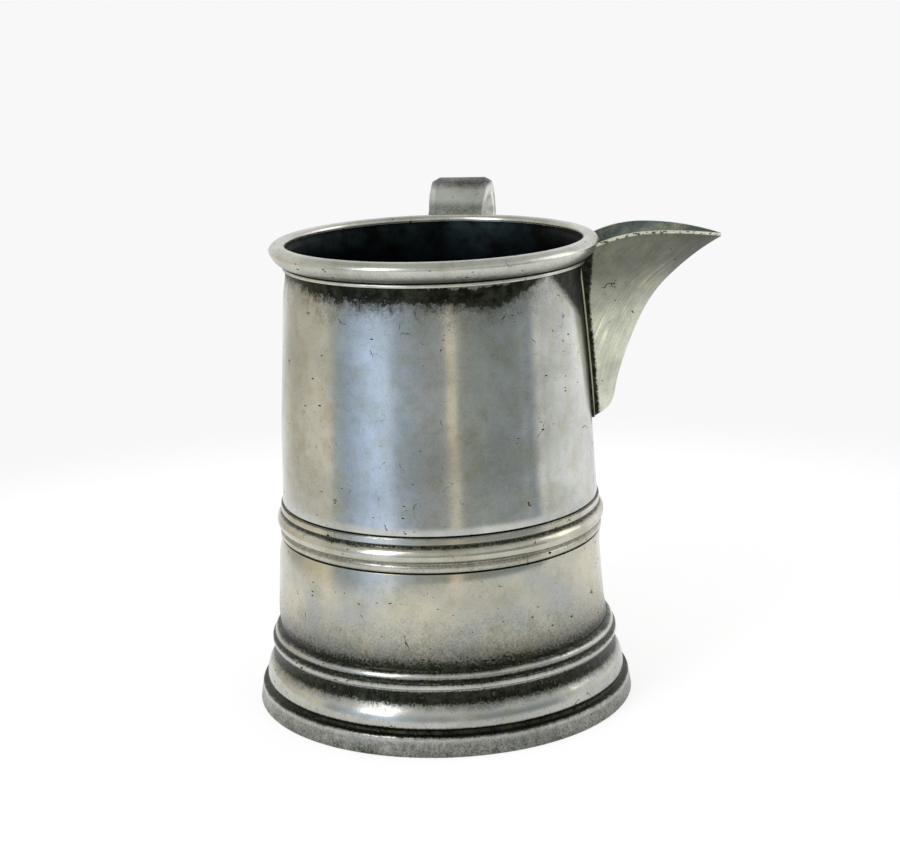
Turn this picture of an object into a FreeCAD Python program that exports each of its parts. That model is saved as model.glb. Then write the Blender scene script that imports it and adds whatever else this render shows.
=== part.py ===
# A pewter quart measure: a tapered drum on a moulded foot, with a thick turned rim, a hoop
# of mouldings round the middle, a V shaped pouring spout and a strap handle.
# Millimetres. The origin is on the drum's axis in the plane that the foot rests on,
# +Z is up and +X is the way that the spout pours.

import FreeCAD, Part
import math
import os

Vector = FreeCAD.Vector

# ---- drum ----
WALL_RADIUS_AT_ZERO = 57.7      # the drum's outer cone, carried down to the table
WALL_TAPER = 0.0626             # radius lost for each millimetre of height
WALL_THICKNESS = 1.6
DRUM_BOTTOM = 13.3              # where the drum's wall stands on the foot's ledge
DRUM_JOINT = 64.0               # lower and upper drum meet here, behind the band
FLARE_START = 139.0             # the wall turns outward from here up to the rim
FLARE_TOP = 152.8
FLARE_OUT = 1.9                 # how far the flare carries the wall off its cone
INCISED_DEPTH = 0.35            # the two turned lines that frame the band
INCISED_HALF_WIDTH = 0.35
INCISED_LINES = (58.15, 69.9)

# ---- foot and base ----
FOOT_RADIUS = 64.0
FOOT_TOP = 27.3
FOOT_REST_INNER = 60.4          # inner edge of the ring that touches the table
LEDGE_INNER = 52.6
LEDGE_THICKNESS = 2.2
BASE_THICKNESS = 2.4
BASE_SOLDER = 1.6

# ---- rim ----
RIM_BOTTOM = 149.0
RIM_TOP = 157.0
RIM_RADIUS = 54.5
MOUTH_RADIUS = 49.1
MOUTH_EDGE = 155.1

# ---- band ----
BAND_BOTTOM = 58.75
BAND_TOP = 69.5
BAND_BEAD_HEIGHT = 64.0
BAND_BEAD_PROUD = 1.5
BAND_STRIP_PROUD = 0.45

# ---- spout ----
SHEET = 1.35                    # thickness of the spout's cheeks
KEEL_SOLDER_HALF = 0.7
SPOUT_SOLDER = 1.0
SPOUT_BACK = 44.0               # the cheeks' outline is closed here, inside the drum
SPOUT_BULGE = 0.09              # how round a cheek is, as a part of its length
TIP_REACH = 95.4                # the tip is worn blunt here
TIP_HEIGHT = 155.2
EDGE_START = (54.0, 155.1)      # the spout's top edge where it leaves the rim
EDGE_CREST = (70.5, 158.4)
# height, reach of the keel from the axis, half width of the spout at the drum
SPOUT_STATIONS = (
    (94.4, 52.4, 0.9),
    (95.7, 54.8, 1.6),
    (97.9, 57.6, 2.5),
    (101.5, 59.5, 3.6),
    (108.5, 61.0, 5.0),
    (118.5, 64.3, 6.7),
    (128.5, 68.6, 8.3),
    (137.5, 74.3, 9.7),
    (144.5, 81.4, 10.8),
    (150.5, 89.3, 11.9),
    (155.1, 97.3, 12.7),
    (159.4, 105.0, 13.4),
)

# ---- strainer holes in the wall behind the spout ----
HOLE_DIAMETER = 3.8
HOLE_PITCH = 5.4
HOLE_TOP_ROW = 143.5
HOLE_ROWS = (3, 2, 3, 2, 1)

# ---- handle ----
HANDLE_AZIMUTH = 81.5           # turned from the spout towards +Y
HANDLE_START = (48.0, 143.9)    # centre of the strap, inside the wall
HANDLE_RISE = 50.0              # slope of the strap where it leaves the wall
HANDLE_STRAIGHT = 15.0
HANDLE_BENDS = ((25.0, -50.0), (23.0, -90.0), (140.0, -43.0), (11.0, 75.0))
HANDLE_STEPS = (4, 6, 6, 5)
HANDLE_WIDTHS = (19.0, 21.0, 13.5)      # at the rim, over the crest and at the tail
HANDLE_THICKNESSES = (5.6, 4.0)
HANDLE_TOP_CHAMFER = (2.3, 1.2)         # across the strap and down its side
HANDLE_UNDER_CHAMFER = 0.6
HANDLE_SOLDER = 1.3
STRUT_HEIGHT = 45.5
STRUT_WALL_SIZE = (12.0, 11.0)
STRUT_STRAP_SIZE = (9.0, 8.0)
STRUT_REACH = 61.5
STRUT_SOLDER = 1.0


def outline(start, steps):
    """A closed wire in the XZ plane. A step is the next corner of a straight run, or a
    pair of points, the middle and the end of an arc."""
    edges = []
    here = Vector(start[0], 0, start[1])
    first = here
    for step in steps:
        if isinstance(step[0], tuple):
            middle = Vector(step[0][0], 0, step[0][1])
            there = Vector(step[1][0], 0, step[1][1])
            edges.append(Part.Arc(here, middle, there).toShape())
        else:
            there = Vector(step[0], 0, step[1])
            edges.append(Part.LineSegment(here, there).toShape())
        here = there
    if here.distanceToPoint(first) > 1e-6:
        edges.append(Part.LineSegment(here, first).toShape())
    return Part.Wire(edges)


def turned(start, steps):
    """A solid of revolution about the drum's axis."""
    face = Part.Face(outline(start, steps))
    return face.revolve(Vector(0, 0, 0), Vector(0, 0, 1), 360)


def wall_radius(z):
    """Outer radius of the drum, without its mouldings."""
    return WALL_RADIUS_AT_ZERO - WALL_TAPER * z


def bore_radius(z):
    return wall_radius(z) - WALL_THICKNESS


def incised(z):
    """The three corners of a turned line in the wall, from below."""
    low = z - INCISED_HALF_WIDTH
    high = z + INCISED_HALF_WIDTH
    return [(wall_radius(low), low), (wall_radius(z) - INCISED_DEPTH, z), (wall_radius(high), high)]


def make_lower_drum():
    steps = [(wall_radius(DRUM_BOTTOM), DRUM_BOTTOM)]
    steps += incised(INCISED_LINES[0])
    steps.append((wall_radius(DRUM_JOINT), DRUM_JOINT))
    steps.append((bore_radius(DRUM_JOINT), DRUM_JOINT))
    return turned((bore_radius(DRUM_BOTTOM), DRUM_BOTTOM), steps)


def flare(thickness):
    """The start, middle and end of the flare under the rim."""
    height = FLARE_TOP - FLARE_START
    middle_z = FLARE_START + 0.55 * height
    top_r = wall_radius(FLARE_TOP) + FLARE_OUT - thickness
    middle_r = wall_radius(middle_z) + 0.3 * FLARE_OUT - thickness
    low_r = wall_radius(FLARE_START) - thickness
    return (low_r, FLARE_START), (middle_r, middle_z), (top_r, FLARE_TOP)


def strainer_holes():
    """Rods along the spout, in staggered rows, that bore the strainer."""
    rods = []
    for row, count in enumerate(HOLE_ROWS):
        z = HOLE_TOP_ROW - row * HOLE_PITCH
        for i in range(count):
            y = (i - (count - 1) / 2) * HOLE_PITCH
            start = Vector(wall_radius(z) / 2, y, z)
            rods.append(Part.makeCylinder(HOLE_DIAMETER / 2, wall_radius(z), start, Vector(1, 0, 0)))
    return Part.makeCompound(rods)


def make_upper_drum():
    out_low, out_middle, out_top = flare(0)
    in_low, in_middle, in_top = flare(WALL_THICKNESS)
    steps = [(wall_radius(DRUM_JOINT), DRUM_JOINT)]
    steps += incised(INCISED_LINES[1])
    steps += [out_low, (out_middle, out_top), in_top, (in_middle, in_low)]
    wall = turned((bore_radius(DRUM_JOINT), DRUM_JOINT), steps)
    return wall.cut(strainer_holes())


def make_body_joint_solder():
    """The low ridge of solder inside the drum, where its two castings meet."""
    half = 1.6
    low = DRUM_JOINT - half
    high = DRUM_JOINT + half
    ridge = (bore_radius(DRUM_JOINT) - 0.5, DRUM_JOINT)
    return turned((bore_radius(low), low), [(bore_radius(high), high), (ridge, (bore_radius(low), low))])


def make_foot():
    ledge_low = DRUM_BOTTOM - LEDGE_THICKNESS
    steps = [
        (FOOT_RADIUS - 0.4, 0),
        (FOOT_RADIUS, 0.5),
        (FOOT_RADIUS - 0.9, 5.8),
        ((FOOT_RADIUS - 1.15, 6.45), (FOOT_RADIUS - 1.7, 6.7)),
        (61.3, 6.9),
        ((60.8, 7.8), (61.2, 8.7)),
        ((61.1, 11.2), (59.9, 14.25)),
        ((58.4, 17.4), (58.4, 20.7)),
        (59.0, 21.1),
        (58.9, 22.6),
        ((58.1, 23.2), (58.0, 24.0)),
        ((57.75, 25.2), (57.0, 25.95)),
        (56.55, 26.1),
        ((56.15, 26.5), (wall_radius(FOOT_TOP) + 0.05, FOOT_TOP)),
        (wall_radius(FOOT_TOP), FOOT_TOP),
        (wall_radius(DRUM_BOTTOM), DRUM_BOTTOM),
        (LEDGE_INNER, DRUM_BOTTOM),
        (LEDGE_INNER, ledge_low),
        (55.2, ledge_low),
        ((58.6, 7.5), (FOOT_REST_INNER, 0.6)),
    ]
    return turned((FOOT_REST_INNER + 0.6, 0), steps)


def make_base_plate():
    top = DRUM_BOTTOM + BASE_THICKNESS
    steps = [(bore_radius(DRUM_BOTTOM), DRUM_BOTTOM), (bore_radius(top), top), (0, top)]
    return turned((0, DRUM_BOTTOM), steps)


def make_base_solder():
    """The fillet of solder in the corner between the base plate and the wall."""
    low = DRUM_BOTTOM + BASE_THICKNESS
    high = low + BASE_SOLDER
    inner = bore_radius(low) - BASE_SOLDER
    middle = (bore_radius(low) - 0.5, low + 0.5)
    return turned((inner, low), [(bore_radius(low), low), (bore_radius(high), high), (middle, (inner, low))])


def make_mid_band():
    """The hoop round the drum: strip, groove, bead, groove, strip."""
    def at(z, proud):
        return (wall_radius(z) + proud, z)

    bead_low = BAND_BEAD_HEIGHT - 2.5
    bead_high = BAND_BEAD_HEIGHT + 2.4
    steps = [
        at(BAND_BOTTOM, BAND_STRIP_PROUD - 0.1),
        at(BAND_BOTTOM + 0.15, BAND_STRIP_PROUD),
        at(BAND_BOTTOM + 1.4, BAND_STRIP_PROUD),
        (at(bead_low - 0.75, 0.12), at(bead_low, 0.3)),
        (at(BAND_BEAD_HEIGHT, BAND_BEAD_PROUD), at(bead_high, 0.25)),
        (at(bead_high + 0.55, 0.1), at(BAND_TOP - 1.9, BAND_STRIP_PROUD)),
        at(BAND_TOP - 0.15, BAND_STRIP_PROUD),
        at(BAND_TOP, BAND_STRIP_PROUD - 0.1),
        at(BAND_TOP, 0),
    ]
    return turned(at(BAND_BOTTOM, 0), steps)


def rim_outside():
    """The rim's outer face, from the wall up and over to the mouth's edge."""
    crest = MOUTH_RADIUS + 1.5
    return [
        ((50.4, RIM_BOTTOM + 0.4), (49.95, RIM_BOTTOM + 0.95)),
        (50.2, RIM_BOTTOM + 1.2),
        ((53.2, RIM_BOTTOM + 3.2), (RIM_RADIUS, RIM_BOTTOM + 6.0)),
        ((RIM_RADIUS - 1.0, RIM_TOP - 0.6), (crest, RIM_TOP)),
        ((crest - 1.0, RIM_TOP - 0.4), (MOUTH_RADIUS, MOUTH_EDGE)),
    ]


def flare_radius(z):
    """Outer radius of the flared wall under the rim, on the arc that it is turned to."""
    low, middle, top = [Vector(r, 0, height) for r, height in flare(0)]
    circle = Part.Arc(low, middle, top).toShape().Curve
    rise = z - circle.Center.z
    return circle.Center.x - math.sqrt(circle.Radius ** 2 - rise ** 2)


def make_rim():
    """A moulded lip that caps the drum's wall and clasps its flare."""
    out_top = flare(0)[2]
    in_top = flare(WALL_THICKNESS)[2]
    start = (flare_radius(RIM_BOTTOM), RIM_BOTTOM)
    middle_z = (RIM_BOTTOM + FLARE_TOP) / 2
    steps = rim_outside()
    steps += [in_top, out_top, ((flare_radius(middle_z), middle_z), start)]
    return turned(start, steps)


def filled_mug():
    """Everything inside the outer faces of drum and rim, to cut what stands against them."""
    out_low, out_middle, out_top = flare(0)
    steps = [(wall_radius(0), 0), out_low, (out_middle, out_top), (0, FLARE_TOP)]
    drum = turned((0, 0), steps)
    start = (flare_radius(RIM_BOTTOM), RIM_BOTTOM)
    steps = rim_outside() + [(MOUTH_RADIUS, RIM_TOP + 8), (0, RIM_TOP + 8), (0, RIM_BOTTOM)]
    return drum.fuse(turned(start, steps))


def spout_section(z, reach, half, grow):
    """One level outline of the spout: two arcs from the keel to the drum. A positive grow
    makes it larger all round, a negative one is the inside of the sheet."""
    keel = Vector(reach + 1.5 * grow, 0, z)
    edges = []
    ends = []
    for side in (-1, 1):
        end = Vector(SPOUT_BACK, side * max(half + grow, 0.2), z)
        middle = (keel + end) * 0.5
        run = end - keel
        outward = Vector(-run.y, run.x, 0)
        outward.normalize()
        if outward.y * side < 0:
            outward = outward * -1
        middle = middle + outward * (SPOUT_BULGE * run.Length)
        edges.append(Part.Arc(keel, middle, end).toShape())
        ends.append(end)
    edges.append(Part.LineSegment(ends[0], ends[1]).toShape())
    return Part.Wire(Part.__sortEdges__(edges))


def spout_block(grow):
    """The whole spout as one solid block, with its inside filled."""
    wires = [spout_section(z, reach, half, grow) for z, reach, half in SPOUT_STATIONS]
    return Part.makeLoft(wires, True, False)


def above_spout_edge():
    """The space over the spout's top edge and past its blunt tip."""
    high = TIP_HEIGHT + 30
    steps = [
        ((62.0, 157.55), EDGE_CREST),
        ((84.0, 157.45), (TIP_REACH, TIP_HEIGHT)),
        (TIP_REACH + 0.4, TIP_HEIGHT - 8),
        (TIP_REACH + 15, TIP_HEIGHT - 8),
        (TIP_REACH + 15, high),
        (40.0, high),
        (40.0, EDGE_START[1] - 3),
    ]
    face = Part.Face(outline(EDGE_START, steps))
    face.translate(Vector(0, -40, 0))
    return face.extrude(Vector(0, 80, 0))


def side_space(side, gap):
    """All the space on one side of the spout's middle plane, beyond a gap."""
    y = gap if side > 0 else -gap - 60
    return Part.makeBox(90, 60, 90, Vector(30, y, 85))


def make_spout_parts(mug):
    """The two cheeks, the solder along the keel and the solder against the drum."""
    block = spout_block(0)
    outside = block.cut(above_spout_edge()).cut(mug)
    sheet = outside.cut(spout_block(-SHEET))
    left = sheet.common(side_space(1, KEEL_SOLDER_HALF))
    right = sheet.common(side_space(-1, KEEL_SOLDER_HALF))
    keel = sheet.cut(side_space(1, KEEL_SOLDER_HALF)).cut(side_space(-1, KEEL_SOLDER_HALF))
    steps = [(wall_radius(85) + SPOUT_SOLDER, 85), (wall_radius(FLARE_START) + SPOUT_SOLDER, FLARE_START)]
    steps += [(flare_radius(RIM_BOTTOM) + SPOUT_SOLDER, RIM_BOTTOM), (0, RIM_BOTTOM)]
    near_wall = turned((0, 85), steps)
    seam = spout_block(SPOUT_SOLDER).cut(block).common(near_wall).cut(mug)
    seam_left = seam.common(side_space(1, 0))
    seam_right = seam.common(side_space(-1, 0))
    return left, right, keel, seam_left, seam_right


def handle_path():
    """Points of the strap's centre line with the slope at each, in the handle's plane."""
    x, z = HANDLE_START
    slope = math.radians(HANDLE_RISE)
    path = [(x, z, slope)]
    x += HANDLE_STRAIGHT * math.cos(slope)
    z += HANDLE_STRAIGHT * math.sin(slope)
    path.append((x, z, slope))
    for (radius, turn), steps in zip(HANDLE_BENDS, HANDLE_STEPS):
        step = math.radians(turn) / steps
        chord = 2 * radius * math.sin(abs(step) / 2)
        for _ in range(steps):
            x += chord * math.cos(slope + step / 2)
            z += chord * math.sin(slope + step / 2)
            slope += step
            path.append((x, z, slope))
    return path


def strap_section(x, z, slope, width, thickness, grow):
    """One outline across the strap: a flat bar with wide chamfers on its outer face."""
    half = width / 2 + grow
    outer = thickness / 2 + grow
    inset, down = HANDLE_TOP_CHAMFER
    under = HANDLE_UNDER_CHAMFER
    corners = [
        (half - inset, outer), (half, outer - down), (half, -outer + under), (half - under, -outer),
        (-half + under, -outer), (-half, -outer + under), (-half, outer - down), (-half + inset, outer),
    ]
    points = []
    for across, up in corners:
        points.append(Vector(x - up * math.sin(slope), -across, z + up * math.cos(slope)))
    return Part.makePolygon(points + points[:1])


def strap(grow, first, last):
    """The strap between two stations of its path, in the handle's plane along X."""
    path = handle_path()
    crest = 1 + HANDLE_STEPS[0]
    root_width, crest_width, tail_width = HANDLE_WIDTHS
    wires = []
    for i, (x, z, slope) in enumerate(path):
        part = i / (len(path) - 1)
        if i <= crest:
            width = root_width + (crest_width - root_width) * max(i - 1, 0) / (crest - 1)
        else:
            width = crest_width + (tail_width - crest_width) * (i - crest) / (len(path) - 1 - crest)
        thickness = HANDLE_THICKNESSES[0] + (HANDLE_THICKNESSES[1] - HANDLE_THICKNESSES[0]) * part
        wires.append(strap_section(x, z, slope, width, thickness, grow))
    return Part.makeLoft(wires[first:last], True, False)


def make_handle_parts(mug):
    """The strap, the strut that ties its tail to the drum, and the solder at both."""
    whole = strap(0, 0, None)
    handle = whole.cut(mug)
    steps = [(wall_radius(130) + HANDLE_SOLDER, 130), (wall_radius(FLARE_START) + HANDLE_SOLDER, FLARE_START)]
    steps += [(flare_radius(RIM_BOTTOM) + HANDLE_SOLDER, RIM_BOTTOM), (0, RIM_BOTTOM)]
    near_wall = turned((0, 130), steps)
    root_solder = strap(HANDLE_SOLDER, 0, 2).cut(whole).common(near_wall).cut(mug)

    def plate(x, size, grow):
        across = size[0] / 2 + grow
        up = size[1] / 2 + grow
        z = STRUT_HEIGHT
        points = [Vector(x, -across, z - up), Vector(x, across, z - up)]
        points += [Vector(x, across, z + up), Vector(x, -across, z + up)]
        return Part.makePolygon(points + points[:1])

    def block(grow):
        wires = [plate(52.0, STRUT_WALL_SIZE, grow), plate(STRUT_REACH, STRUT_STRAP_SIZE, grow)]
        return Part.makeLoft(wires, True, True)

    strut = block(0).cut(mug).cut(whole)
    steps = [(wall_radius(30) + STRUT_SOLDER, 30), (wall_radius(56) + STRUT_SOLDER, 56), (0, 56)]
    strut_solder = block(STRUT_SOLDER).cut(block(0)).common(turned((0, 30), steps)).cut(mug).cut(whole)
    pieces = [handle, root_solder, strut, strut_solder]
    for piece in pieces:
        piece.rotate(Vector(0, 0, 0), Vector(0, 0, 1), HANDLE_AZIMUTH)
    return pieces


def largest_solid(shape):
    return max(shape.Solids, key=lambda solid: solid.Volume)


def build():
    mug = filled_mug()
    left, right, keel, seam_left, seam_right = make_spout_parts(mug)
    handle, root_solder, strut, strut_solder = make_handle_parts(mug)
    return {
        "upper_drum": make_upper_drum(),
        "lower_drum": make_lower_drum(),
        "body_joint_solder": make_body_joint_solder(),
        "rim": make_rim(),
        "mid_band": make_mid_band(),
        "foot": make_foot(),
        "base_plate": make_base_plate(),
        "base_solder": make_base_solder(),
        "spout_left_cheek": left,
        "spout_right_cheek": right,
        "spout_keel_solder": keel,
        "spout_left_solder": seam_left,
        "spout_right_solder": seam_right,
        "handle": handle,
        "handle_root_solder": root_solder,
        "handle_strut": strut,
        "handle_strut_solder": strut_solder,
    }


os.makedirs("parts", exist_ok=True)
for name, shape in build().items():
    print(name, "solids", len(shape.Solids), "valid", shape.isValid(), "volume", round(shape.Volume, 1))
    solid = largest_solid(shape)
    solid.exportStep("parts/" + name + ".step")
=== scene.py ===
import math

import bmesh
import bpy
from mathutils import Matrix, Vector, noise


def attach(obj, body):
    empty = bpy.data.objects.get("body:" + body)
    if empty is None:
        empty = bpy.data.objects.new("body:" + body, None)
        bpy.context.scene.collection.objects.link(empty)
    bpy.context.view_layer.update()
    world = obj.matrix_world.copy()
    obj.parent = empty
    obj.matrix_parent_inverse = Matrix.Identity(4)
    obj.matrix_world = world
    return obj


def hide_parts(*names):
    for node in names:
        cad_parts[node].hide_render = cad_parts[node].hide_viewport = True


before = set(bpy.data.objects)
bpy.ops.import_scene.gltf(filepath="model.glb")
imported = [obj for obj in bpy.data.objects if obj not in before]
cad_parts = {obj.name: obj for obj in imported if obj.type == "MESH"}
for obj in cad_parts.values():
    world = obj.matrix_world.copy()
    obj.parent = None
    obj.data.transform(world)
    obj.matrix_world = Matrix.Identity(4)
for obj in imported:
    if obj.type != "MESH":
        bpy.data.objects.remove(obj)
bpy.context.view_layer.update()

# ---- Camera ----
# It looks along +Y from in front of the measure and a little above, with a long lens, and
# stands slightly rolled, as the photograph was taken. Places are in metres.
FOCAL_PIXELS = 2023.1
IMAGE_WIDTH = 900
SENSOR_WIDTH = 36
CAMERA_DISTANCE = 0.6821
CAMERA_ELEVATION = math.radians(14.13)
CAMERA_ROLL = math.radians(-1.88)
CAMERA_TARGET = Vector((0.00409, 0.0, 0.09013))

camera = bpy.data.objects.new("camera", bpy.data.cameras.new("camera"))
bpy.context.scene.collection.objects.link(camera)
bpy.context.scene.camera = camera
camera.data.sensor_width = SENSOR_WIDTH
camera.data.lens = SENSOR_WIDTH * FOCAL_PIXELS / IMAGE_WIDTH
camera_back = Vector((0, -math.cos(CAMERA_ELEVATION), math.sin(CAMERA_ELEVATION)))
camera.matrix_world = (
    Matrix.Translation(CAMERA_TARGET + camera_back * CAMERA_DISTANCE)
    @ Matrix.Rotation(math.pi / 2 - CAMERA_ELEVATION, 4, "X")
    @ Matrix.Rotation(CAMERA_ROLL, 4, "Z")
)
bpy.context.scene.view_settings.view_transform = "Standard"


# ---- Room ----
# A pale studio with one tall cool window at the left front, a dim room in front with a narrow
# warm strip in it, and white paper behind and to the right. Polished pewter is a dull mirror,
# so the soft upright bands on the drum are this room.
def linear(hex_colour):
    """An sRGB colour such as "#b4b4ae" as linear RGBA."""
    channels = []
    for i in (1, 3, 5):
        value = int(hex_colour[i:i + 2], 16) / 255
        channels.append(value / 12.92 if value <= 0.04045 else ((value + 0.055) / 1.055) ** 2.4)
    return (*channels, 1)


def add(tree, kind, inputs, stops=(), **settings):
    """Adds a shader node with its settings and links. An input is a value, or the socket or the
    node that is linked to it. The stops of a colour ramp are each a position and a colour."""
    node = tree.nodes.new("ShaderNode" + kind)
    for name, value in settings.items():
        setattr(node, name, value)
    for name, value in inputs.items():
        if isinstance(value, bpy.types.Node):
            value = next(socket for socket in value.outputs if socket.enabled)
        if isinstance(value, bpy.types.NodeSocket):
            tree.links.new(value, node.inputs[name])
        else:
            node.inputs[name].default_value = value
    for i, (position, colour) in enumerate(stops):
        if i == len(node.color_ramp.elements):
            node.color_ramp.elements.new(1)
        node.color_ramp.elements[i].position = position
        node.color_ramp.elements[i].color = colour
    return node


# degrees round from the camera, to the right, and the light's colour and strength there
ROOM = (
    (-180, "#f8f8f8", 1.25), (-152, "#efebdf", 0.98), (-128, "#e2dbcb", 0.95), (-84, "#ece5d4", 1.15),
    (-79, "#c8ced2", 1.00), (-68, "#bccbde", 1.00), (-58, "#cbdefa", 1.15), (-47, "#cde0ff", 1.40),
    (-36, "#d2e1f8", 1.40), (-27, "#bfccdd", 1.05), (-8, "#b8bec0", 1.0), (6.5, "#b2b6b4", 0.98),
    (8, "#f4e8d4", 1.08), (14, "#f4e8d4", 1.08), (15.5, "#b0b4ae", 0.95), (30, "#adb4b0", 0.92),
    (55, "#acb3b5", 0.88), (62, "#aeb6b8", 0.86), (66, "#c6cccc", 0.94), (69.5, "#aab6c2", 0.86),
    (73, "#aab6c2", 0.86), (76.5, "#dadddb", 0.98), (79.5, "#fbf9f4", 1.12), (82, "#fbf9f4", 1.12),
    (85, "#dfe1df", 1.02), (92, "#f4f5f2", 1.08), (128, "#fafafa", 1.30), (180, "#f8f8f8", 1.25),
)
UPPER_WALLS = "#e8e9e8"
CEILING = "#c8cac7"
PAPER = "#f8f8f8"
# how far up, or back, a direction points where each begins and where it is full
UPPER_WALLS_START = (0.12, 0.45)
CEILING_START = (0.6, 0.85)
PAPER_START = (0.75, 0.9)

room = bpy.data.worlds.new("studio")
bpy.context.scene.world = room
room.use_nodes = True
tree = room.node_tree
direction = add(tree, "TexCoord", {}).outputs["Generated"]
turned_direction = add(tree, "Mapping", {"Vector": direction, "Rotation": (0, 0, math.pi / 2)})
round_room = add(tree, "TexGradient", {"Vector": turned_direction}, gradient_type="RADIAL")
stops = []
for degrees, colour, strength in ROOM:
    light = [channel * strength for channel in linear(colour)[:3]]
    stops.append((degrees / 360 + 0.5, (*light, 1)))
walls = add(tree, "ValToRGB", {"Fac": round_room.outputs["Fac"]}, stops)
walls.color_ramp.interpolation = "EASE"
along = add(tree, "SeparateXYZ", {"Vector": direction}).outputs
upward = add(
    tree, "MapRange", {"Value": along["Z"], "From Min": UPPER_WALLS_START[0], "From Max": UPPER_WALLS_START[1]}
)
room_light = add(tree, "Mix", {0: upward, 6: walls, 7: linear(UPPER_WALLS)}, data_type="RGBA")
overhead = add(
    tree, "MapRange", {"Value": along["Z"], "From Min": CEILING_START[0], "From Max": CEILING_START[1]}
)
room_light = add(tree, "Mix", {0: overhead, 6: room_light, 7: linear(CEILING)}, data_type="RGBA")
# the camera sees plain paper all round, and the metal mirrors it only right behind
behind = add(tree, "MapRange", {"Value": along["Y"], "From Min": PAPER_START[0], "From Max": PAPER_START[1]})
ray = add(tree, "LightPath", {}).outputs
mirrored = add(tree, "Math", {0: ray["Is Glossy Ray"], 1: ray["Is Transmission Ray"]}, operation="ADD")
mirrored = add(tree, "Math", {0: mirrored, 1: behind}, operation="MULTIPLY")
shows_paper = add(tree, "Math", {0: ray["Is Camera Ray"], 1: mirrored}, operation="ADD", use_clamp=True)
seen = add(tree, "Mix", {0: shows_paper, 6: room_light, 7: linear(PAPER)}, data_type="RGBA")
tree.links.new(seen.outputs[2], tree.nodes["Background"].inputs["Color"])

# lamps: name, degrees round from the camera, degrees up, distance, width, height, watts
LAMPS = (
    ("window", -44, 30, 1.2, 0.42, 0.95, 4.4),
    ("right_fill", 100, 28, 1.2, 0.6, 0.6, 1.4),
)
LIT_PLACE = Vector((0, 0, 0.08))
for name, degrees, up, distance, width, height, watts in LAMPS:
    lamp = bpy.data.objects.new(name, bpy.data.lights.new(name, "AREA"))
    lamp.data.shape = "RECTANGLE"
    lamp.data.size = width
    lamp.data.size_y = height
    lamp.data.energy = watts
    across = math.radians(degrees)
    rise = math.radians(up)
    towards = Vector((math.sin(across) * math.cos(rise), -math.cos(across) * math.cos(rise), math.sin(rise)))
    lamp.location = towards * distance + LIT_PLACE
    lamp.rotation_euler = towards.to_track_quat("Z", "Y").to_euler()
    bpy.context.scene.collection.objects.link(lamp)

# ---- Floor ----
# White paper, a disc that fades into the room at its edge. It keeps the measure's soft shadow.
FLOOR_RADIUS = 0.42
FADE_STARTS = 0.26
FADE_ENDS = 0.41


def piece_of(shape, name):
    """Makes a finished shape an object of the scene."""
    piece = bpy.data.objects.new(name, bpy.data.meshes.new(name))
    shape.to_mesh(piece.data)
    shape.free()
    bpy.context.scene.collection.objects.link(piece)
    return piece


shape = bmesh.new()
bmesh.ops.create_circle(shape, cap_ends=True, segments=96, radius=FLOOR_RADIUS)
floor = piece_of(shape, "floor")

paper = bpy.data.materials.new("white_paper")
paper.use_nodes = True
tree = paper.node_tree
tree.nodes.clear()
place = add(tree, "TexCoord", {}).outputs["Object"]
reach = add(tree, "VectorMath", {0: place}, operation="LENGTH")
fade = add(
    tree, "MapRange", {"Value": reach, "From Min": FADE_STARTS, "From Max": FADE_ENDS},
    interpolation_type="SMOOTHSTEP",
)
# paper that is seen or mirrored glows a little, so that it stays white, and still takes a shadow
matt = add(tree, "BsdfDiffuse", {"Color": linear("#a6a6a6")})
glow = add(tree, "Emission", {"Color": linear("#dcdcdc")})
glowing = add(tree, "AddShader", {0: matt, 1: glow})
plain = add(tree, "BsdfDiffuse", {"Color": linear("#e4e4e4")})
ray = add(tree, "LightPath", {}).outputs
seen = add(tree, "Math", {0: ray["Is Camera Ray"], 1: ray["Is Glossy Ray"]}, operation="ADD")
seen = add(tree, "Math", {0: seen, 1: ray["Is Transmission Ray"]}, operation="ADD", use_clamp=True)
look = add(tree, "MixShader", {0: seen, 1: plain, 2: glowing})
clear = add(tree, "BsdfTransparent", {})
faded = add(tree, "MixShader", {0: fade, 1: look, 2: clear})
add(tree, "OutputMaterial", {"Surface": faded})
floor.data.materials.append(paper)

# ---- Lower drum ----
# The wall between foot and band, cast in pewter and skimmed on a lathe. It stands on the
# foot's ledge and meets the upper drum behind the band. One turned line runs under the band.
MM = 0.001              # sizes from here on are in mm, and this turns them to metres
TALLEST = 170           # a height that is over the whole measure
WALL_RADIUS_AT_ZERO = 57.7
WALL_TAPER = 0.0626
WALL_THICKNESS = 1.6
DRUM_BOTTOM = 13.3
DRUM_JOINT = 64.0
LOWER_LINE = 58.15
LINE_DEPTH = 0.45
LINE_HALF_WIDTH = 0.38
LINE_REACH = 0.35       # a face with its middle so near to a turned line is in it
SLICES = 384            # faces round the axis
KNOCKED_ASIDE = 0.7     # how far the wall stands from the spout
KNOCK_STARTS = (27, 33)
KNOCK_ENDS = (52, 58)


def wall_radius(z):
    """The drum's outer radius at a height."""
    return WALL_RADIUS_AT_ZERO - WALL_TAPER * z


def bore_radius(z):
    """The drum's inner radius at a height."""
    return wall_radius(z) - WALL_THICKNESS


def incised(z):
    """The corners of a turned line in the wall, from below."""
    low = z - LINE_HALF_WIDTH
    high = z + LINE_HALF_WIDTH
    return [(wall_radius(low), low), (wall_radius(z) - LINE_DEPTH, z), (wall_radius(high), high)]


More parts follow.
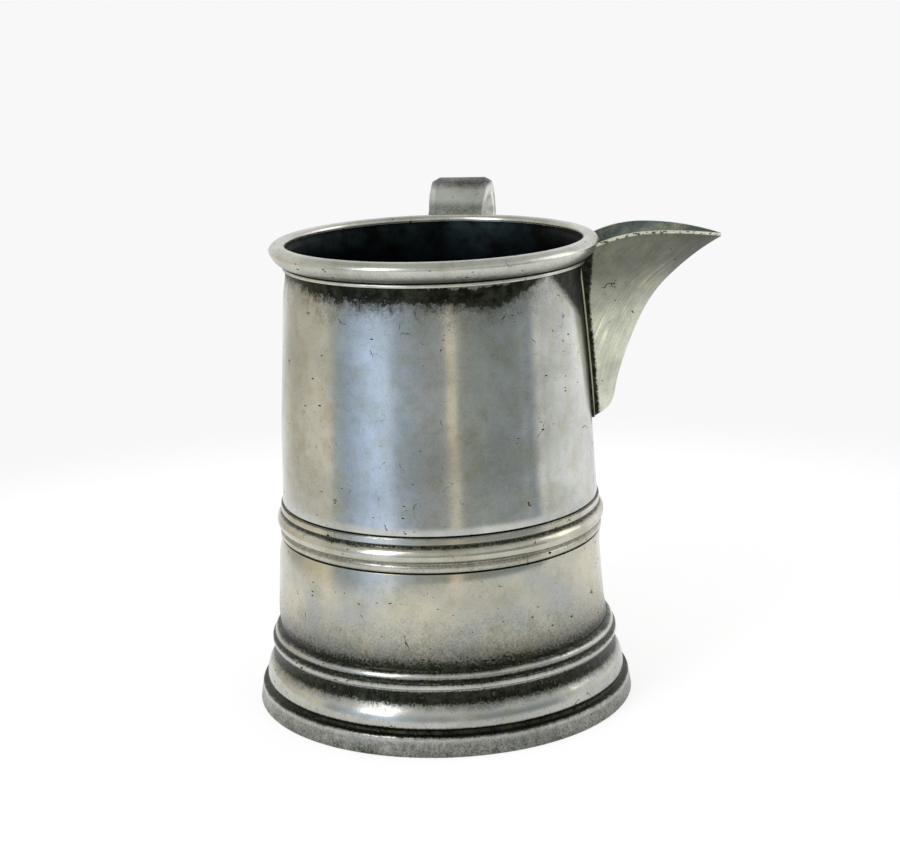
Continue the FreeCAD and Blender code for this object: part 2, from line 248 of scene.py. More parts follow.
def meeting_point(start, middle, end):
    """Where the tangents of an arc through three points meet, and how far that is from its ends."""
    start, middle, end = Vector(start), Vector(middle), Vector(end)
    chord = end - start
    normal = Vector((-chord.y, chord.x)).normalized()
    half = chord.length / 2
    sagitta = (middle - start).dot(normal)
    along = (middle - start).dot(chord.normalized()) - half
    # the circle's centre lies on the chord's bisector at this offset along the normal
    offset = (along ** 2 + sagitta ** 2 - half ** 2) / (2 * sagitta)
    return (start + end) / 2 - normal * (half ** 2 / offset), half * math.hypot(1, half / offset)


def smoothed(mesh, sharp_degrees=32):
    """Shades a mesh smooth, except over its sharp edges."""
    shape = bmesh.new()
    shape.from_mesh(mesh)
    for face in shape.faces:
        face.smooth = True
    for edge in shape.edges:
        edge.smooth = edge.calc_face_angle(0) < math.radians(sharp_degrees)
    shape.to_mesh(mesh)
    shape.free()


def rounded(shape, corner, size, segments):
    """Cuts off a corner of a flat profile with a round, which starts so far from it."""
    bmesh.ops.bevel(
        shape, geom=[corner], offset=size, offset_type="OFFSET", segments=segments, profile=0.5,
        affect="VERTICES", material=-1,
    )


def turned(name, start, steps, rows=3.0, worn=0.12, flush=(), arc_segments=8):
    """Turns a closed profile about the axis. A step is the next corner, or the middle and the
    end of an arc. Long straight runs get a row of points each few mm. Corners are worn, but
    for the flush ones, which meet another piece."""
    shape = bmesh.new()
    first = shape.verts.new((start[0] * MM, 0, start[1] * MM))
    here = first
    arcs = []
    corners = [first]
    for step in steps:
        if isinstance(step[0], tuple):
            corner, reach = meeting_point((here.co.x / MM, here.co.z / MM), *step)
            bend = shape.verts.new((corner.x * MM, 0, corner.y * MM))
            arcs.append((bend, reach))
            shape.edges.new((here, bend))
            here = bend
            step = step[1]
        there = shape.verts.new((step[0] * MM, 0, step[1] * MM))
        shape.edges.new((here, there))
        corners.append(there)
        here = there
    shape.edges.new((here, first))
    # an arc stops just short of its ends, so that the edges there keep some length
    for bend, reach in arcs:
        rounded(shape, bend, reach * MM * 0.999, arc_segments)
    for corner in corners:
        if any((corner.co - Vector((r * MM, 0, z * MM))).length < 0.02 * MM for r, z in flush):
            continue
        shortest = min(edge.calc_length() for edge in corner.link_edges)
        size = min(worn * MM, shortest * 0.45)
        if size > 0.01 * MM:
            rounded(shape, corner, size, 2)
    bmesh.ops.remove_doubles(shape, verts=shape.verts, dist=0.004 * MM)
    for edge in list(shape.edges):
        cuts = int(edge.calc_length() / (rows * MM))
        if cuts:
            bmesh.ops.subdivide_edges(shape, edges=[edge], cuts=cuts)
    bmesh.ops.spin(
        shape, geom=shape.verts[:] + shape.edges[:], cent=(0, 0, 0), axis=(0, 0, 1), angle=math.tau,
        steps=SLICES, use_merge=True,
    )
    bmesh.ops.remove_doubles(shape, verts=shape.verts, dist=0.002 * MM)
    bmesh.ops.recalc_face_normals(shape, faces=shape.faces)
    return piece_of(shape, name)


def dent(piece, depth, size):
    """Pushes a turned piece's outside in by soft hollows up to a depth, each about so wide."""
    for vertex in piece.data.vertices:
        flat = Vector((vertex.co.x, vertex.co.y, 0))
        if flat.length < (bore_radius(vertex.co.z / MM) + 0.6) * MM:
            continue
        wave = noise.noise(vertex.co / (size * MM)) + 0.5 * noise.noise(vertex.co / (size * MM) * 2.7)
        vertex.co -= flat.normalized() * (depth * MM * (0.5 + 0.33 * wave))


def smooth_step(value, low, high):
    """0 up to low and 1 from high on, with a smooth rise between them."""
    part = min(max((value - low) / (high - low), 0), 1)
    return part * part * (3 - 2 * part)


def line_inside(piece, below, material):
    """Gives the faces that look at the axis, under a height, the second material."""
    piece.data.materials.append(material)
    for face in piece.data.polygons:
        towards = Vector((face.center.x, face.center.y, 0)).normalized()
        if face.normal.dot(towards) < -0.3 and face.center.z < below * MM:
            face.material_index = 1


def mark_ring(piece, low, high, material):
    """Gives the outer faces between two heights a material of their own."""
    piece.data.materials.append(material)
    for face in piece.data.polygons:
        if face.material_index == 0 and low < face.center.z / MM < high:
            face.material_index = len(piece.data.materials) - 1


def finish(piece, node):
    """Puts a finished piece in the place of its CAD node."""
    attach(piece, "root")
    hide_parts(node)


def bare_metal(name):
    """A new material that is all metal: it, its nodes, its shader, and the place on the piece."""
    material = bpy.data.materials.new(name)
    material.use_nodes = True
    tree = material.node_tree
    shader = tree.nodes["Principled BSDF"]
    shader.inputs["Metallic"].default_value = 1
    return material, tree, shader, add(tree, "TexCoord", {}).outputs["Object"]


# Old pewter, hand polished over a lathe-skimmed casting: a dull grey mirror with a faint
# orange-peel ripple, clouds and stains of thin tarnish, black corrosion pits and short curved
# scratches. Where cloths don't reach, beside mouldings and joints, the tarnish stays black with
# a ragged edge.
PEWTER = "#c6c7c3"
PEWTER_CLOUDED = "#abada8"
STAIN = "#a9a68c"
TARNISH = "#191b14"
TARNISH_THIN = "#383a2f"
PIT = "#1b1c18"
TARNISH_ROUGHNESS = 0.4
# how wide each kind of blotch is, and its detail
CLOUDS = (22, 3)
MOTTLING = (3, 4)
GRAIN = (0.7, 2)
PIT_PATCHES = (15, 2)
SCRATCH_LENGTHS = (5, 1)
STAINS = (8, 4)
PIT_SPACING = 3.2
PIT_FLATNESS = 2.5      # pits are drawn out sideways
PIT_DEPTH = 0.03
SCRATCH_SPACING = 13
SCRATCH_BEND = 4
RIPPLE_HEIGHT = 0.012
GRAIN_HEIGHT = 0.0025


def old_pewter(name, tarnish, light=PEWTER, clouded=PEWTER_CLOUDED, polish=0.15, pits=0.5, ripple=1.0,
               ragged=4.0, soft=0.2, more_tarnish=None, less_height=None, streaks=None):
    """tarnish gives its depth, 0 to 1, at heights. ragged is how far its edge strays, and soft
    how slowly it fades. The last three add nodes: tarnish by place, a height that is taken off
    before tarnish is looked up, and a shade that the metal is multiplied by."""
    material, tree, shader, place = bare_metal(name)
    cloud, mottle, grain, patch, length, stain = [
        add(tree, "TexNoise", {"Vector": place, "Scale": 1 / (size * MM), "Detail": detail, "Roughness": 0.6})
        for size, detail in (CLOUDS, MOTTLING, GRAIN, PIT_PATCHES, SCRATCH_LENGTHS, STAINS)
    ]

    # tarnish by height, its edge made ragged by the clouds and the mottling
    height = add(tree, "SeparateXYZ", {"Vector": place}).outputs["Z"]
    if less_height:
        height = add(tree, "Math", {0: height, 1: less_height(tree, place)}, operation="SUBTRACT")
    off_cloud = add(tree, "Math", {0: cloud, 1: 0.5}, operation="SUBTRACT")
    off_mottle = add(tree, "Math", {0: mottle, 1: 0.5}, operation="SUBTRACT")
    off_grain = add(tree, "Math", {0: grain, 1: 0.5}, operation="SUBTRACT")
    off = add(tree, "Math", {0: off_cloud, 1: 1.5, 2: off_mottle}, operation="MULTIPLY_ADD")
    height = add(tree, "Math", {0: off, 1: ragged * MM, 2: height}, operation="MULTIPLY_ADD")
    height = add(tree, "Math", {0: height, 1: 1 / (TALLEST * MM)}, operation="MULTIPLY")
    stops = [(z / TALLEST, (depth, depth, depth, 1)) for z, depth in tarnish]
    deep = add(tree, "ValToRGB", {"Fac": height}, stops)
    if more_tarnish:
        deep = add(tree, "Math", {0: deep, 1: more_tarnish(tree, place, mottle)}, operation="MAXIMUM")
    deep = add(tree, "Math", {0: off_mottle, 1: 0.7, 2: deep}, operation="MULTIPLY_ADD")
    deep = add(tree, "Math", {0: off_grain, 1: 0.9, 2: deep}, operation="MULTIPLY_ADD")
    deep = add(tree, "MapRange", {"Value": deep, "From Min": 0.5 - soft, "From Max": 0.5 + soft})

    # corrosion pits, mostly under 1 mm wide, at most one to each cell, and in patches
    flat = add(tree, "Mapping", {"Vector": place, "Scale": (1, 1, PIT_FLATNESS)})
    speck = add(tree, "TexVoronoi", {"Vector": flat, "Scale": 1 / (PIT_SPACING * MM)})
    widest = add(tree, "MapRange", {
        "Value": patch, "From Min": 0.6 - 0.14 * pits, "From Max": 0.74, "To Min": -0.02, "To Max": 0.26,
    })
    uneven = add(tree, "MapRange", {
        "Value": speck.outputs["Color"], "From Min": 0.25, "From Max": 0.75, "To Min": 0.1, "To Max": 1.25,
    })
    widest = add(tree, "Math", {0: widest, 1: uneven}, operation="MULTIPLY")
    hole = add(tree, "Math", {0: widest, 1: speck}, operation="SUBTRACT")
    hole = add(tree, "MapRange", {"Value": hole, "From Max": 0.05})

    # short curved scratches: parts of the edges of large cells, bent by the mottling
    bent = add(
        tree, "VectorMath", {0: mottle.outputs["Color"], 1: (SCRATCH_BEND * MM,) * 3}, operation="MULTIPLY"
    )
    bent = add(tree, "VectorMath", {0: place, 1: bent}, operation="ADD")
    crack = add(
        tree, "TexVoronoi", {"Vector": bent, "Scale": 1 / (SCRATCH_SPACING * MM)}, feature="DISTANCE_TO_EDGE"
    )
    width = add(tree, "MapRange", {"Value": length, "From Min": 0.58, "From Max": 0.74, "To Max": 0.013})
    scratch = add(tree, "Math", {0: width, 1: crack}, operation="SUBTRACT")
    scratch = add(tree, "MapRange", {"Value": scratch, "From Max": 0.004})
    marks = add(tree, "Math", {0: hole, 1: scratch}, operation="MAXIMUM")

    # colour: clouded and stained metal, then black tarnish, then pits and scratches
    cloudy = add(tree, "MapRange", {"Value": cloud, "From Min": 0.35, "From Max": 0.66})
    metal = add(tree, "Mix", {0: cloudy, 6: linear(light), 7: linear(clouded)}, data_type="RGBA")
    stained = add(tree, "MapRange", {"Value": stain, "From Min": 0.5, "From Max": 0.68, "To Max": 0.5})
    metal = add(tree, "Mix", {0: stained, 6: metal, 7: linear(STAIN)}, data_type="RGBA")
    shades = [
        add(tree, "MapRange", {
            "Value": blotch, "From Min": 0.3, "From Max": 0.7, "To Min": 0.9, "To Max": 1.07,
        })
        for blotch in (grain, mottle)
    ]
    shade = add(tree, "Math", {0: shades[0], 1: shades[1]}, operation="MULTIPLY")
    if streaks:
        shade = add(tree, "Math", {0: shade, 1: streaks(tree, place)}, operation="MULTIPLY")
    metal = add(tree, "VectorMath", {0: metal, 1: shade}, operation="MULTIPLY")
    thin = add(tree, "MapRange", {"Value": mottle, "From Min": 0.42, "From Max": 0.66})
    black = add(tree, "Mix", {0: thin, 6: linear(TARNISH), 7: linear(TARNISH_THIN)}, data_type="RGBA")
    dirty = add(tree, "Mix", {0: deep, 6: metal, 7: black}, data_type="RGBA")
    colour = add(tree, "Mix", {0: marks, 6: dirty, 7: linear(PIT)}, data_type="RGBA")
    tree.links.new(colour.outputs[2], shader.inputs["Base Color"])

    # tarnish, pits and scratches are matt, and clouded metal a little less bright
    spoiled = add(tree, "Math", {0: deep, 1: marks}, operation="MAXIMUM")
    rough = add(tree, "MapRange", {"Value": spoiled, "To Min": polish, "To Max": TARNISH_ROUGHNESS})
    rough = add(tree, "Math", {0: cloudy, 1: 0.05, 2: rough}, operation="MULTIPLY_ADD")
    tree.links.new(rough.outputs[0], shader.inputs["Roughness"])

    # the ripple under the polish, and the pits
    surface = add(tree, "Math", {0: marks, 1: -PIT_DEPTH * MM}, operation="MULTIPLY")
    for blotch, rise in ((mottle, RIPPLE_HEIGHT), (grain, GRAIN_HEIGHT)):
        surface = add(tree, "Math", {0: blotch, 1: rise * MM * ripple, 2: surface}, operation="MULTIPLY_ADD")
    bump = add(tree, "Bump", {"Height": surface, "Distance": 1.0, "Strength": 1.0})
    tree.links.new(bump.outputs[0], shader.inputs["Normal"])
    return material


# Unpolished pewter inside, as it left the mould: a matt skin, almost black, partly with old tarnish
# and partly as painted shade for the dim inside, a little blue where the tarnish is thin.
UNPOLISHED_BLOTCHES = 9


def dark_pewter(name, colour="#0c0e0f", patch_colour="#1f2a2c"):
    """A cast skin in two colours that run into each other in patches."""
    material, tree, shader, place = bare_metal(name)
    cloud = add(
        tree, "TexNoise",
        {"Vector": place, "Scale": 1 / (UNPOLISHED_BLOTCHES * MM), "Detail": 5, "Roughness": 0.65},
    )
    blotch = add(tree, "MapRange", {"Value": cloud, "From Min": 0.4, "From Max": 0.7})
    mix = add(tree, "Mix", {0: blotch, 6: linear(colour), 7: linear(patch_colour)}, data_type="RGBA")
    tree.links.new(mix.outputs[2], shader.inputs["Base Color"])
    rough = add(tree, "MapRange", {"Value": cloud, "To Min": 0.5, "To Max": 0.36})
    tree.links.new(rough.outputs[0], shader.inputs["Roughness"])
    bump = add(tree, "Bump", {"Height": cloud, "Distance": 0.03 * MM, "Strength": 1.0})
    tree.links.new(bump.outputs[0], shader.inputs["Normal"])
    return material


# the near-black inside is old tarnish and painted shade
inside = dark_pewter("unpolished_inside_painted_shade")
steps = [(wall_radius(DRUM_BOTTOM), DRUM_BOTTOM)]
steps += incised(LOWER_LINE)
steps += [(wall_radius(DRUM_JOINT), DRUM_JOINT), (bore_radius(DRUM_JOINT), DRUM_JOINT)]
lower_drum = turned("drum_lower_wall", (bore_radius(DRUM_BOTTOM), DRUM_BOTTOM), steps, worn=0.05)
dent(lower_drum, depth=0.12, size=14)
for vertex in lower_drum.data.vertices:
    z = vertex.co.z / MM
    vertex.co.x -= KNOCKED_ASIDE * MM * (smooth_step(z, *KNOCK_STARTS) - smooth_step(z, *KNOCK_ENDS))
# warmer and more pitted than the upper wall, and dull above the foot
lower_wall = old_pewter(
    "polished_lower_wall", ((0, 1.0), (28.2, 0.95), (30.8, 0.62), (36.0, 0.3), (46.0, 0.0)),
    light="#cac4b1", pits=1.7, ragged=1.6, soft=0.45,
)
groove_metal = old_pewter("groove_tarnish", ((0, 1.0), (TALLEST, 1.0)))
lower_drum.data.materials.append(lower_wall)
line_inside(lower_drum, TALLEST, inside)
mark_ring(lower_drum, LOWER_LINE - LINE_REACH, LOWER_LINE + LINE_REACH, groove_metal)
smoothed(lower_drum.data)
finish(lower_drum, "lower_drum")

# ---- Upper drum ----
# The tapered wall over the band, with a turned line above the band and a slight flare that
# the rim clasps. Eleven holes are drilled through it behind the spout, as a strainer.
UPPER_LINE = 69.9
FLARE_START = 139.0
FLARE_TOP = 152.8
FLARE_OUT = 1.9
LEAN = 0.8              # old knocks have pushed the rim this far towards the spout
LEAN_ALL_ROUND = (138, 149)
LEAN_BY_SPOUT = (75, 135)
SWELL = 0.7             # and have left the wall this much fuller on the other side
SWELL_STARTS = (72, 100)
SWELL_ENDS = (140, 149.5)
HOLE_DIAMETER = 3.8
HOLE_PITCH = 5.4
HOLE_TOP_ROW = 143.5
HOLE_ROWS = (3, 2, 3, 2, 1)
HOLES_MIDDLE = 140
DRILL_LENGTH = 30
JOINT_FOOT = 94.4       # the height of the spout's lowest point
JOINT_HALF_WIDTH = 0.9  # half the spout's width there
JOINT_SPREAD = 0.194    # how much that grows for each mm above it


def flare(thickness):
    """The start, middle and end of the flare under the rim, that far inside the wall's outside.
    It bends late: at 0.55 of its height it has gone 0.3 of the way out."""
    middle_z = FLARE_START + 0.55 * (FLARE_TOP - FLARE_START)
    low = (wall_radius(FLARE_START) - thickness, FLARE_START)
    middle = (wall_radius(middle_z) + 0.3 * FLARE_OUT - thickness, middle_z)
    return low, middle, (wall_radius(FLARE_TOP) + FLARE_OUT - thickness, FLARE_TOP)


def lean(piece):
    """Carries the rim and the wall under it a little towards the spout, more on that side, and
    leaves the wall fuller on the other side."""
    for vertex in piece.data.vertices:
        z = vertex.co.z / MM
        side = (1 + vertex.co.x / max(Vector((vertex.co.x, vertex.co.y)).length, MM)) / 2
        top = smooth_step(z, *LEAN_ALL_ROUND)
        vertex.co.x += LEAN * MM * (top + (1 - top) * smooth_step(z, *LEAN_BY_SPOUT) * side)
        swell = smooth_step(z, *SWELL_STARTS) * (1 - smooth_step(z, *SWELL_ENDS)) * (1 - side) ** 2
        vertex.co.x -= SWELL * MM * swell


def cut_away(piece, cutter):
    """Cuts one piece with another, which is then gone."""
    boolean = piece.modifiers.new("cut", "BOOLEAN")
    boolean.operation = "DIFFERENCE"
    boolean.solver = "EXACT"
    boolean.object = cutter
    cut = bpy.data.meshes.new_from_object(piece.evaluated_get(bpy.context.evaluated_depsgraph_get()))
    piece.modifiers.clear()
    old = piece.data
    piece.data = cut
    cut.name = old.name + "_cut"
    bpy.data.meshes.remove(old)
    bpy.data.objects.remove(cutter)


def tarnish_and_shade_by_spout(tree, place, mottle):
    """Black on the wall along the spout's joint: tarnish where a cloth can't reach, and painted shade and a
    painted reflection of the spout.
    """
    across = add(tree, "SeparateXYZ", {"Vector": place}).outputs
    side = add(tree, "Math", {0: across["Y"]}, operation="ABSOLUTE")
    at_zero = (JOINT_HALF_WIDTH - JOINT_SPREAD * JOINT_FOOT) * MM
    joint = add(tree, "Math", {0: across["Z"], 1: JOINT_SPREAD, 2: at_zero}, operation="MULTIPLY_ADD")
    gap = add(tree, "Math", {0: side, 1: joint}, operation="SUBTRACT")
    gap = add(tree, "Math", {0: mottle, 1: 2.0 * MM, 2: gap}, operation="MULTIPLY_ADD")
    # it is up to 15 mm wider close under the rim, as painted shade
    under_rim = add(
        tree, "MapRange", {"Value": across["Z"], "From Min": 132 * MM, "From Max": 149 * MM, "To Max": 15 * MM}
    )
    gap = add(tree, "Math", {0: gap, 1: under_rim}, operation="SUBTRACT")
    near = add(tree, "MapRange", {"Value": gap, "From Min": 12 * MM, "From Max": 6 * MM, "To Max": 1.15})
    # only on the spout's side of the drum, and only as far down as the spout
    front = add(tree, "Math", {0: across["X"], 1: 0.0}, operation="GREATER_THAN")
    high = add(tree, "MapRange", {"Value": across["Z"], "From Min": 91 * MM, "From Max": 97 * MM})
    near = add(tree, "Math", {0: near, 1: front}, operation="MULTIPLY")
    return add(tree, "Math", {0: near, 1: high}, operation="MULTIPLY")


def polished_ends(tree, place):
    """How much higher the tarnish under the rim starts to the sides, in metres."""
    across = add(tree, "SeparateXYZ", {"Vector": place}).outputs["X"]
    ends = [
        add(tree, "MapRange", {
            "Value": across, "From Min": start * MM, "From Max": end * MM, "To Max": rise * MM,
        })
        for start, end, rise in ((24, 36, 7), (-30, -46, 4.5))
    ]
    return add(tree, "Math", {0: ends[0], 1: ends[1]}, operation="ADD")


out_low, out_middle, out_top = flare(0)
in_low, in_middle, in_top = flare(WALL_THICKNESS)
steps = [(wall_radius(DRUM_JOINT), DRUM_JOINT)]
steps += incised(UPPER_LINE)
steps += [out_low, (out_middle, out_top), in_top, (in_middle, in_low)]
upper_drum = turned(
    "drum_upper_wall", (bore_radius(DRUM_JOINT), DRUM_JOINT), steps, worn=0.05, flush=(in_top, out_top)
)
dent(upper_drum, depth=0.14, size=15)
upper_wall = old_pewter(
    "polished_upper_wall",
    ((0, 0.0), (130.0, 0.0), (136.0, 0.2), (140.0, 0.38), (142.6, 0.7), (145.0, 1.2), (148.0, 1.2),
     (148.7, 0.6), (149.0, 0.5)),
    pits=1.25, ragged=5.0, soft=0.4, more_tarnish=tarnish_and_shade_by_spout, less_height=polished_ends,
)
upper_drum.data.materials.append(upper_wall)
line_inside(upper_drum, TALLEST, inside)
mark_ring(upper_drum, UPPER_LINE - LINE_REACH, UPPER_LINE + LINE_REACH, groove_metal)
shape = bmesh.new()
for row, count in enumerate(HOLE_ROWS):
    for i in range(count):
        y = (i - (count - 1) / 2) * HOLE_PITCH
        centre = Vector((wall_radius(HOLES_MIDDLE), y, HOLE_TOP_ROW - row * HOLE_PITCH)) * MM
        bmesh.ops.create_cone(
            shape, cap_ends=True, segments=24, radius1=HOLE_DIAMETER / 2 * MM, radius2=HOLE_DIAMETER / 2 * MM,
            depth=DRILL_LENGTH * MM, matrix=Matrix.Translation(centre) @ Matrix.Rotation(math.pi / 2, 4, "Y"),
        )
drills = piece_of(shape, "strainer_drills")
for metal in (upper_wall, inside, groove_metal):
    drills.data.materials.append(metal)
for face in drills.data.polygons:
    face.material_index = 1
cut_away(upper_drum, drills)
lean(upper_drum)
smoothed(upper_drum.data)
finish(upper_drum, "upper_drum")

# ---- Rim ----
# A heavy lip turned from a casting, with a thin half-round fillet under it. It is soldered
# over the drum's flare, and its mouth has a crisp inner edge. Its top is the most worn.
RIM_BOTTOM = 149.0
RIM_BOTTOM_RADIUS = 49.42
MOUTH_RADIUS = 49.1
MOUTH_EDGE = 155.1
FILLET = (148.8, 149.8)

steps = [
    ((50.04, 148.87), (50.4, 149.4)),
    ((50.27, 149.75), (49.95, 149.95)),
    (50.2, 150.2),
    ((53.2, 152.2), (54.5, 155.0)),
    ((53.5, 156.4), (50.6, 157.0)),
    ((49.6, 156.6), (MOUTH_RADIUS, MOUTH_EDGE)),
    in_top,
    out_top,
]
rim = turned(
    "rim_moulded_lip", (RIM_BOTTOM_RADIUS, RIM_BOTTOM), steps, rows=2.0, worn=0.25, flush=(in_top, out_top)
)
dent(rim, depth=0.1, size=11)
# handled more than the walls: full of pits and small knocks, black tarnish in the hollow over the fillet, and
# painted shade that fades up the lip's underside
rim_metal = old_pewter(
    "worn_rim_painted_shade_under_lip",
    ((0, 0.9), (149.7, 0.9), (150.2, 0.9), (150.9, 0.62), (152.0, 0.42), (153.2, 0.2), (154.3, 0.0),
     (157.2, 0.0)),
    light="#d0d0c8", clouded="#b2b4aa", pits=2.3, ragged=0.5, polish=0.22, soft=0.48, ripple=1.5,
)
# painted highlight: the fillet's crest is painted pale, matt and untarnished, as a thin bright line under the
# lip
fillet_painted_highlight = old_pewter(
    "rim_fillet_painted_highlight", ((0, 0.0), (TALLEST, 0.0)), light="#d2d1c6", clouded="#b2b1a5", polish=0.34, pits=0.8,
)
rim.data.materials.append(rim_metal)
line_inside(rim, MOUTH_EDGE + 0.15, inside)
mark_ring(rim, *FILLET, fillet_painted_highlight)
lean(rim)
smoothed(rim.data)
finish(rim, "rim")


# ---- Band ----
# A cast hoop sweated on over the joint of the two drums: a half-round bead between two
# grooves and two flat strips. The grooves hold black tarnish.
def at(z, proud):
    """A corner that stands so far proud of the wall at a height."""
    return (wall_radius(z) + proud, z)


steps = [
    at(58.75, 0.35), at(58.9, 0.45), at(60.15, 0.45), (at(60.75, 0.12), at(61.5, 0.3)),
    (at(64.0, 1.5), at(66.4, 0.25)), (at(66.95, 0.1), at(67.6, 0.45)), at(69.35, 0.45), at(69.5, 0.35),
    at(69.5, 0),
]
band = turned("band_bead_and_strips", at(58.75, 0), steps, worn=0.08)
band_metal = old_pewter(
    "polished_band",
    ((0, 0.9), (58.6, 0.9), (58.85, 0.2), (60.2, 0.1), (60.6, 0.65), (61.3, 0.6), (61.8, 0.1), (65.8, 0.0),
     (66.3, 0.8), (67.3, 1.0), (67.65, 0.1), (69.2, 0.0), (69.45, 0.8), (TALLEST, 0.9)),
    light="#cdcabd", clouded="#b1aea1", pits=1.3, ragged=0.3, polish=0.18, soft=0.42,
)
band.data.materials.append(band_metal)
smoothed(band.data)
finish(band, "mid_band")

# ---- Foot ----
# One heavy casting turned outside into a plain band, a groove, a wide ovolo and cove, and two
# small mouldings under the drum. A ledge inside it carries the drum and the base plate.
FOOT_TOP = 27.3
LEDGE_RADIUS = 52.6
LEDGE_BOTTOM = 11.1
FOOT_INSIDE = (60.8, 14)    # faces nearer to the axis and lower than this are the unpolished hollow

steps = [
    (63.6, 0), (64.0, 0.5), (63.1, 5.8), ((62.85, 6.45), (62.3, 6.7)), (61.3, 6.9),
    ((60.8, 7.8), (61.2, 8.7)),
    ((61.1, 11.2), (59.9, 14.25)),
    ((58.4, 17.4), (58.4, 20.7)),
    (59.0, 21.1), (58.9, 22.6), ((58.1, 23.2), (58.0, 24.0)),
    ((57.75, 25.2), (57.0, 25.95)), (56.55, 26.1),
    ((56.15, 26.5), (wall_radius(FOOT_TOP) + 0.05, FOOT_TOP)), (wall_radius(FOOT_TOP), FOOT_TOP),
    (wall_radius(DRUM_BOTTOM), DRUM_BOTTOM), (LEDGE_RADIUS, DRUM_BOTTOM), (LEDGE_RADIUS, LEDGE_BOTTOM),
    (55.2, LEDGE_BOTTOM), ((58.6, 7.5), (60.4, 0.6)),
]
foot = turned("foot_mouldings", (61.0, 0), steps, worn=0.15)
# bright on the ovolo and the small mouldings, black in every groove, half tarnished on the plain band at the
# bottom
foot_metal = old_pewter(
    "polished_foot",
    ((0, 0.68), (1.5, 0.6), (4.6, 0.5), (5.7, 0.2), (6.4, 0.5), (6.7, 1.0), (8.9, 1.0), (9.3, 0.2),
     (13.4, 0.1), (15.2, 0.5), (16.8, 1.0), (19.9, 0.95), (20.7, 0.35), (21.2, 0.1), (21.7, 0.1),
     (22.4, 0.5), (22.9, 1.0), (24.1, 1.0), (24.6, 0.3), (25.1, 0.1), (25.6, 0.2), (26.0, 0.9),
     (26.4, 1.0), (TALLEST, 1.0)),
    light="#c8c7c0", pits=1.7, ragged=0.45, polish=0.17, soft=0.38,
)
foot.data.materials.append(foot_metal)
foot.data.materials.append(inside)
for face in foot.data.polygons:
    flat = Vector((face.center.x, face.center.y, 0))
    hidden = flat.length < FOOT_INSIDE[0] * MM and face.center.z < FOOT_INSIDE[1] * MM
    if hidden and face.normal.dot(flat.normalized()) < 0.2:
        face.material_index = 1
smoothed(foot.data)
finish(foot, "foot")


# ---- Base ----
# A flat cast plate on the foot's ledge closes the drum. A fillet of solder makes its corner
# with the wall tight, and a low ridge of solder inside joins the two drums.
def refinish(name, material):
    """Gives a CAD piece that stays its own material."""
    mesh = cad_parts[name].data
    mesh.materials.clear()
    mesh.materials.append(material)


refinish("base_plate", dark_pewter("unpolished_base", "#34393a", "#555b59"))
refinish("base_solder", inside)
refinish("body_joint_solder", inside)

# ---- Spout ----
# Two cheeks of bent pewter sheet, soldered along the keel and against the drum, and dressed
# with a scraper. They are duller and greener than the drum, with curved scrape marks.
KEEL = ((90, 53), (101.5, 59.5), (118.5, 64.3), (137.5, 74.3), (150.5, 89.3), (160, 100))
KEEL_REACH = 50                 # KEEL has heights and reaches there, from this to twice this
STREAK_WIDTH = 0.45
STREAK_LENGTH = 22
STREAKS_FROM_KEEL = 9.5         # the middle of the lane that the streaks are in
EDGE_CREST = (70.5, 158.4)      # the highest point of the spout's top edge
EDGE_FALL = (0.012, 0.00516)    # how fast it falls towards the rim and towards the tip
RIDGE_OUT = 1.25                # how far the solder's pale ridge stands from the wall
FACES_UP = 0.75                 # a face whose normal points up by more than this is an edge's


def skin_of(node, name):
    """A merged copy of a CAD node's mesh, as a new piece."""
    shape = bmesh.new()
    shape.from_mesh(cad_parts[node].data)
    bmesh.ops.remove_doubles(shape, verts=shape.verts, dist=0.001 * MM)
    return piece_of(shape, name)


def gap_from_wall(tree, place):
    """How far a place is from the drum's true wall, in metres."""
    flat = add(tree, "VectorMath", {0: place, 1: (1, 1, 0)}, operation="MULTIPLY")
    out = add(tree, "VectorMath", {0: flat}, operation="LENGTH")
    height = add(tree, "SeparateXYZ", {"Vector": place}).outputs["Z"]
    wall = add(tree, "Math", {0: height, 1: WALL_TAPER, 2: -WALL_RADIUS_AT_ZERO * MM}, operation="MULTIPLY_ADD")
    return add(tree, "Math", {0: out, 1: wall}, operation="ADD")


def tarnish_by_drum(tree, place, mottle):
    """Black tarnish on the spout beside the drum."""
    gap = gap_from_wall(tree, place)
    gap = add(tree, "Math", {0: mottle, 1: 1.6 * MM, 2: gap}, operation="MULTIPLY_ADD")
    # it is up to 3.2 mm wider close under the rim
    height = add(tree, "SeparateXYZ", {"Vector": place}).outputs["Z"]
    under_rim = add(
        tree, "MapRange", {"Value": height, "From Min": 136 * MM, "From Max": 154 * MM, "To Max": 3.2 * MM}
    )
    gap = add(tree, "Math", {0: gap, 1: under_rim}, operation="SUBTRACT")
    return add(tree, "MapRange", {"Value": gap, "From Min": 4.4 * MM, "From Max": 2.8 * MM})


